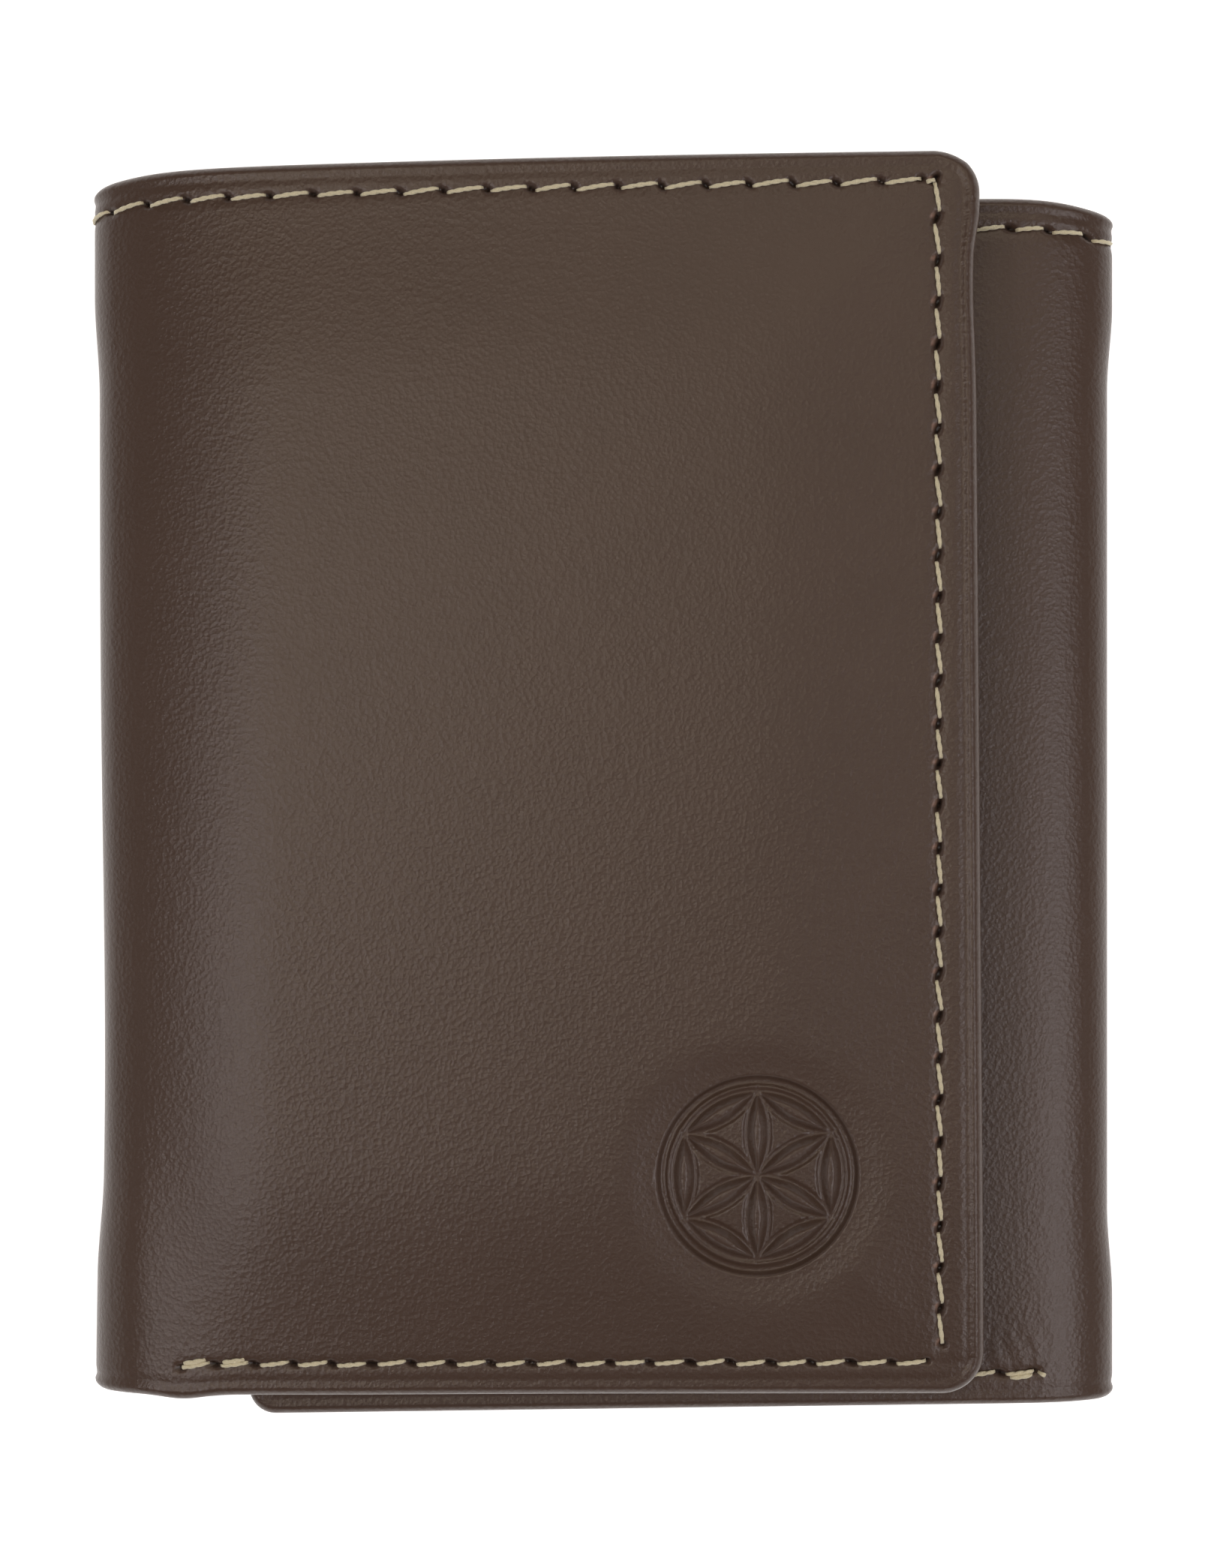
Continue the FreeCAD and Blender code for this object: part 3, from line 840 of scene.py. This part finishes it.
front_shell = finish(make_front_shell(), shell_material, "shell_leather", None,
                     "front_flap_leather", "upper_crease_leather", "left_spine_leather")
back_left_shell = finish(make_back_left_shell(), shell_material, "shell_leather", None,
                         "back_leather", "lower_crease_leather")
right_shell = finish(make_right_shell(), shell_material, "shell_leather", None,
                     "inner_flap_leather", "right_fold_leather")
upper_crease_start = (LEFT_X * MM, 0, 5.8 * MM)
upper_crease_end = ((LEFT_X + 5.0) * MM, 0, 10.8 * MM)
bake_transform(front_shell)
lower_crease_start = ((LEFT_X + 3.2) * MM, 0, 0)
lower_crease_end = (LEFT_X * MM, 0, 3.2 * MM)
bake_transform(back_left_shell)
right_fold_start, right_fold_end = (0, 0, 1.7 * MM), (0, 0, 6.3 * MM)
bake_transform(right_shell)


# ---- Thread ----

def sew(name, leaf, stitches, body, *nodes):
    return finish(stitch_mesh(name, leaf, stitches), thread_finish, "thread", body, *nodes)


front_hem_thread = sew("front_hem_stitches", FRONT, front_hem + corner_stitches, None,
                       "front_hem_thread", "spine_hem_thread")
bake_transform(front_hem_thread)
sew("front_foot_stitches", FRONT, front_foot + front_tacks, "front_flap", "front_foot_thread")
sew("front_edge_stitches", FRONT, front_edge, "front_flap", "front_edge_thread")
AT_FOLD = 3  # stitches of a row that cross a fold
sew("inner_hem_stitches", RIGHT, inner_hem[AT_FOLD:], "inner_flap", "inner_hem_thread")
sew("inner_foot_stitches", RIGHT, inner_foot + inner_tacks, "inner_flap", "inner_foot_thread")
sew("inner_edge_stitches", RIGHT, inner_edge, "inner_flap", "inner_edge_thread")
fold_stitches = sew("right_fold_stitches", RIGHT, back_right_hem[-AT_FOLD:] + inner_hem[:AT_FOLD],
                    None, "right_fold_hem_thread")
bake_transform(fold_stitches)
sew("back_hem_stitches", RIGHT, back_right_hem[:-AT_FOLD], "centre_panel", "back_hem_thread")
sew("back_left_hem_stitches", BACK_LEFT, back_left_hem[AT_FOLD:], "centre_panel")
spine_stitches = sew("spine_hem_stitches", BACK_LEFT, back_left_hem[:AT_FOLD], None)
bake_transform(spine_stitches)
sew("back_foot_stitches", RIGHT, back_right_foot, "centre_panel", "back_foot_thread")
sew("back_left_foot_stitches", BACK_LEFT, back_left_foot, "centre_panel")


# ---- The inside ----

class Inside:
    """A leaf's far side at one level, seen from within. Depth goes back towards the leather."""

    def __init__(self, leaf, level):
        self.leaf = leaf
        self.level = level
        self.side = leaf.side
        self.strip_u = leaf.strip_u

    def place(self, u, v, depth):
        level = self.level(u, v) if callable(self.level) else self.level
        return self.leaf.place(u, v, level - depth)


def no_flare(v):
    return 0.0 * v


BACK_FROM, BACK_TO = LEFT_X + 6.2, RIGHT_X - 6.2
BACK_RUN = Run(np.array([(BACK_FROM, 0.0), (BACK_TO, 0.0)]), np.zeros(2), -1)
BACK = Leaf(BACK_RUN, BACK_FROM, 1, -100.0, no_flare)

PANEL_HEAD = HALF_HEIGHT - 0.9
PANEL_FOOT = -PANEL_HEAD
BOARD_HEAD = HALF_HEIGHT - 6.4
POCKET_HEAD = HALF_HEIGHT - 4.0
MOUTHS = [HALF_HEIGHT - drop for drop in (16.0, 29.0, 42.0)]
TOOLED_INSET = 1.3  # the pressed line below a pocket's mouth


def sheet(name, leaf, level, thickness, across, upright, free, corner=2.0, tooled=None, step=1.0):
    """A flat interior piece between two values of u (across) and two of v (upright)."""
    radius = thickness / 2
    fine = [(tooled - 0.5, tooled + 0.5, 0.12)] if tooled else []
    us = rounded_ends(spaced(*across, step), radius, steps=3)
    vs = rounded_ends(spaced(*upright, 2 * step, fine), radius, steps=3)

    def relief(u, v, distance):
        swell = bump(v - tooled - TOOLED_INSET + 0.5, 0.5)
        return 0.13 * ridge_line(v - tooled, 0.1, 0.25) - 0.06 * swell

    return slab(name, Inside(leaf, level), us, vs, thickness, relief=relief if tooled else None,
                corner=corner if free else 0.0, free=free, radius=radius)


BOARD = (board_material, "interlining")
CLOTH = (lining_material, "lining_fabric")
POCKET = (pocket_material, "pocket_leather")
FILM = (film_material, "clear_window")


def lay(name, kind, body, node, *shape, **more):
    """A sheet of one kind that rides on a body and replaces a CAD node."""
    return finish(sheet(name, *shape, **more), *kind, body, node)


def bill_compartment(prefix, leaf, across, free, body):
    """The board behind the leather, the lining over it, and the sheet that parts off the notes."""
    board = (across[0] + 1.0, across[1] - 6.0)
    lay(prefix + "_board", BOARD, body, prefix + "_interlining",
        leaf, BOARD_LEVEL, BOARD_THICK, board, (-BOARD_HEAD, BOARD_HEAD), free)
    lay(prefix + "_lining_cloth", CLOTH, body, prefix + "_lining",
        leaf, LINING_LEVEL, CLOTH_THICK, across, (PANEL_FOOT, PANEL_HEAD), free)
    lay(prefix + "_bill_sheet", CLOTH, body, prefix + "_bill_divider",
        leaf, DIVIDER_LEVEL, BILL_SHEET_THICK, across, (PANEL_FOOT, POCKET_HEAD), free)


def card_slots(prefix, leaf, across, free, body):
    """A leather pocket base with stepped card slots on it, each backed by cloth."""
    lay(prefix + "_pocket_back", POCKET, body, prefix + "_pocket_base",
        leaf, BASE_LEVEL, BASE_THICK, across, (PANEL_FOOT, POCKET_HEAD), free,
        tooled=POCKET_HEAD - TOOLED_INSET)
    for number, mouth in enumerate(MOUTHS, 1):
        lay(f"{prefix}_card_slot_{number}", POCKET, body, f"{prefix}_slot_facing_{number}",
            leaf, BASE_LEVEL + number * FACING_THICK, FACING_THICK - FACING_GAP, across,
            (PANEL_FOOT, mouth), free, tooled=mouth - TOOLED_INSET)
    cloth_across = (across[0] + 2.0, across[1] - 2.0)
    for number, mouth in enumerate(MOUTHS[1:], 1):
        lay(f"{prefix}_slot_cloth_{number}", CLOTH, body, f"{prefix}_slot_liner_{number}",
            leaf, BASE_LEVEL + number * FACING_THICK + 0.03, 0.05, cloth_across,
            (PANEL_FOOT + 3.0, mouth - 0.8), free)


def slot_level(u, v):
    """How far in the top of the pocket stack lies at a height."""
    return BASE_LEVEL + FACING_THICK * sum((v < mouth).astype(float) for mouth in MOUTHS)


FRONT_PANEL = (front_u(LEFT_X + 10.0), FRONT_LENGTH - 1.1)
BACK_PANEL = (0.0, BACK_RUN.length[-1])
INNER_PANEL = (FOLD_U + 7.0, RIGHT_LENGTH - 1.1)
bill_compartment("front", FRONT, FRONT_PANEL, "end", "front_flap")
bill_compartment("back", BACK, BACK_PANEL, None, "centre_panel")
bill_compartment("inner", RIGHT, INNER_PANEL, "end", "inner_flap")
card_slots("front", FRONT, FRONT_PANEL, "end", "front_flap")
card_slots("inner", RIGHT, INNER_PANEL, "end", "inner_flap")


# ---- The centre panel's slip pocket and window ----

WINDOW_LOW, WINDOW_HIGH = box_mm("id_window_frame")
FILM_LOW, FILM_HIGH = box_mm("id_window_sheet")
SLIP_MOUTH = box_mm("centre_slip_facing")[1][1]
SLIP_LEVEL = BASE_LEVEL + FACING_THICK
WINDOW_LEVEL = WINDOW_HIGH[2]
WINDOW_BORDER = 7.0


class WindowRing:
    """A flat frame. u goes round it, v from its outline (0) to its opening (WINDOW_BORDER)."""

    side = 1

    def __init__(self, low, high, level):
        self.centre = (low[:2] + high[:2]) / 2
        self.half = (high[:2] - low[:2]) / 2
        self.level = level
        self.length = 4 * self.half.sum()

    def strip_u(self, u):
        return u

    def outline(self, turn, inset, radius):
        """A point on a rectangle with round corners, turn (0 to 1) of the way round it."""
        half = self.half - inset
        x, y = self.square(turn)
        core = half - radius
        x, y = x * half[0], y * half[1]
        dx = np.sign(x) * np.maximum(np.abs(x) - core[0], 0)
        dy = np.sign(y) * np.maximum(np.abs(y) - core[1], 0)
        shrink = np.maximum(np.abs(dx), np.abs(dy)) / np.maximum(np.hypot(dx, dy), 1e-9)
        return x - dx * (1 - shrink), y - dy * (1 - shrink)

    def square(self, turn):
        """Once round the square from -1 to 1, from the middle of its lower side."""
        t = (np.asarray(turn) * 8 + 7) % 8
        x = np.interp(t, [0, 2, 4, 6, 8], [1, 1, -1, -1, 1])
        y = np.interp(t, [0, 2, 4, 6, 8], [-1, 1, 1, -1, -1])
        return x, y

    def place(self, u, v, depth):
        turn = u / self.length
        outer_x, outer_y = self.outline(turn, 0.0, 3.0)
        inner_x, inner_y = self.outline(turn, WINDOW_BORDER, 2.0)
        part = v / WINDOW_BORDER
        x = self.centre[0] + outer_x + (inner_x - outer_x) * part
        y = self.centre[1] + outer_y + (inner_y - outer_y) * part
        return np.stack([x, y, self.level - depth + 0 * x], -1)


def make_window():
    ring = WindowRing(WINDOW_LOW, WINDOW_HIGH, WINDOW_LEVEL)
    us = np.linspace(0, ring.length, 241)
    vs = rounded_ends(spaced(0, WINDOW_BORDER, 0.7, [(0.9, 2.1, 0.15)]), 0.2, steps=3)

    def relief(u, v, distance):
        return 0.13 * ridge_line(v - 1.4, 0.1, 0.25)

    thickness = WINDOW_HIGH[2] - WINDOW_LOW[2]
    border = slab("window_border", ring, us, vs, thickness, relief=relief, free=None,
                  round_fold=False, radius=0.2)
    finish(border, *POCKET, "centre_panel", "id_window_frame")
    across = (FILM_LOW[0] - BACK_FROM, FILM_HIGH[0] - BACK_FROM)
    lay("window_film", FILM, "centre_panel", "id_window_sheet",
        BACK, FILM_HIGH[2], FILM_HIGH[2] - FILM_LOW[2], across, (FILM_LOW[1], FILM_HIGH[1]), None)


lay("centre_pocket_back", POCKET, "centre_panel", "centre_pocket_base",
    BACK, BASE_LEVEL, BASE_THICK, BACK_PANEL, (PANEL_FOOT, POCKET_HEAD), None,
    tooled=POCKET_HEAD - TOOLED_INSET)
lay("centre_slip_pocket", POCKET, "centre_panel", "centre_slip_facing",
    BACK, SLIP_LEVEL, FACING_THICK - FACING_GAP, BACK_PANEL, (PANEL_FOOT, SLIP_MOUTH), None,
    tooled=SLIP_MOUTH - TOOLED_INSET)
make_window()


# ---- Linings across the folds, and the stitches inside ----

def fold_lining(name, leaf, across, bodies, start, end, *nodes):
    us, radius = spaced(*across, 0.5), 0.07
    vs = rounded_ends(spaced(PANEL_FOOT, PANEL_HEAD, 2.0), radius, steps=3)
    cloth = slab(name, Inside(leaf, LINING_LEVEL), us, vs, CLOTH_THICK, free=None,
                 round_fold=False, radius=radius)
    finish(cloth, *CLOTH, None, *nodes)
    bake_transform(cloth)


fold_lining("spine_lining_upper", FRONT, (0.0, FRONT_PANEL[0]), ("left_spine", "front_flap"),
            upper_crease_start, upper_crease_end, "left_spine_lining")
fold_lining("spine_lining_lower", BACK_LEFT, (0.0, BACK_LEFT_LENGTH + BACK_FROM),
            ("centre_panel", "left_spine"), lower_crease_start, lower_crease_end)
fold_lining("right_fold_cloth", RIGHT, (BACK_TO, INNER_PANEL[0]), ("centre_panel", "inner_flap"),
            right_fold_start, right_fold_end, "right_fold_lining")


def sew_inside(name, leaf, level, stitches, body):
    sew(name, Inside(leaf, level), stitches, body)


def within(stitches, across):
    return [item for item in stitches if min(item.start[0], item.end[0]) > across[0] + 0.3]


sew_inside("front_edge_inside", FRONT, slot_level, front_edge, "front_flap")
sew_inside("front_foot_inside", FRONT, slot_level, within(front_foot, FRONT_PANEL), "front_flap")
sew_inside("front_hem_inside", FRONT, LINING_LEVEL, within(front_hem, FRONT_PANEL), "front_flap")
sew_inside("inner_edge_inside", RIGHT, slot_level, inner_edge, "inner_flap")
sew_inside("inner_foot_inside", RIGHT, slot_level, within(inner_foot, INNER_PANEL), "inner_flap")
sew_inside("inner_hem_inside", RIGHT, LINING_LEVEL, within(inner_hem, INNER_PANEL), "inner_flap")
back_foot_inside = row((1.0, FOOT_V), (BACK_PANEL[1] - 1.0, FOOT_V), **FOOT_ROW)
back_hem_inside = row((1.0, HEM_V), (BACK_PANEL[1] - 1.0, HEM_V), **BACK_HEM_ROW)
sew_inside("back_foot_inside", BACK, SLIP_LEVEL, back_foot_inside, "centre_panel")
sew_inside("back_hem_inside", BACK, LINING_LEVEL, back_hem_inside, "centre_panel")


# ---- Camera, lights and floor ----

def make_camera():
    data = bpy.data.cameras.new("camera")
    data.lens = 68.7
    data.clip_start = 0.01
    camera = bpy.data.objects.new("camera", data)
    camera.location = (0.0, 0.00073, 0.2695)
    bpy.context.collection.objects.link(camera)
    bpy.context.scene.camera = camera


CEILING = 0.8  # the lamps' height in metres


def softbox(name, x, y, width, depth, brightness, colour):
    """A flat lamp that faces straight down. brightness is what it looks like from below."""
    data = bpy.data.lights.new(name, "AREA")
    data.shape = "RECTANGLE"
    data.size, data.size_y = width, depth
    data.energy = math.pi * width * depth * brightness
    data.color = colour
    light = bpy.data.objects.new(name, data)
    light.location = (x, y, CEILING)
    bpy.context.collection.objects.link(light)


def make_floor():
    mesh = bpy.data.meshes.new("floor")
    reach = 3.0
    corners = [(-reach, -reach, 0), (reach, -reach, 0), (reach, reach, 0), (-reach, reach, 0)]
    mesh.from_pydata(corners, [], [(0, 1, 2, 3)])
    floor = bpy.data.objects.new("floor", mesh)
    bpy.context.collection.objects.link(floor)
    floor.location.z = -0.00035  # just under the back's stitches
    material, tree, shader = nodes_of("pale_floor")
    shader.inputs["Base Color"].default_value = (0.9, 0.9, 0.9, 1.0)
    shader.inputs["Roughness"].default_value = 0.9
    shader.inputs["Emission Color"].default_value = (1.0, 1.0, 1.0, 1.0)
    shader.inputs["Emission Strength"].default_value = 0.75
    mesh.materials.append(material)


def make_world():
    """Pale near the horizon and dim overhead, as in a tent of cloth with its lamps above."""
    world = bpy.data.worlds.new("studio")
    world.use_nodes = True
    tree = world.node_tree
    direction = add(tree, "TexCoord").outputs["Generated"]
    height = add(tree, "SeparateXYZ", Vector=direction).outputs["Z"]
    limits = {"From Min": 0.15, "From Max": 0.42, "To Min": 1.2, "To Max": 0.01}
    fade = add(tree, "MapRange", Value=height, **limits)
    tree.nodes["Background"].inputs["Color"].default_value = (1.0, 1.0, 1.0, 1.0)
    tree.links.new(fade.outputs["Result"], tree.nodes["Background"].inputs["Strength"])
    bpy.context.scene.world = world


make_camera()
softbox("upper_left_softbox", -0.20, 0.08, 0.25, 0.24, 4.9, (1.0, 0.86, 0.68))
softbox("lower_left_softbox", -0.45, -0.15, 0.20, 0.30, 8.2, (1.0, 0.94, 0.95))
softbox("top_softbox", 0.14, 0.50, 0.36, 0.40, 2.9, (1.0, 0.88, 0.70))
softbox("right_softbox", 0.45, -0.23, 0.30, 0.64, 5.1, (1.0, 0.95, 0.97))
make_floor()
make_world()
bpy.context.scene.view_settings.view_transform = "Standard"
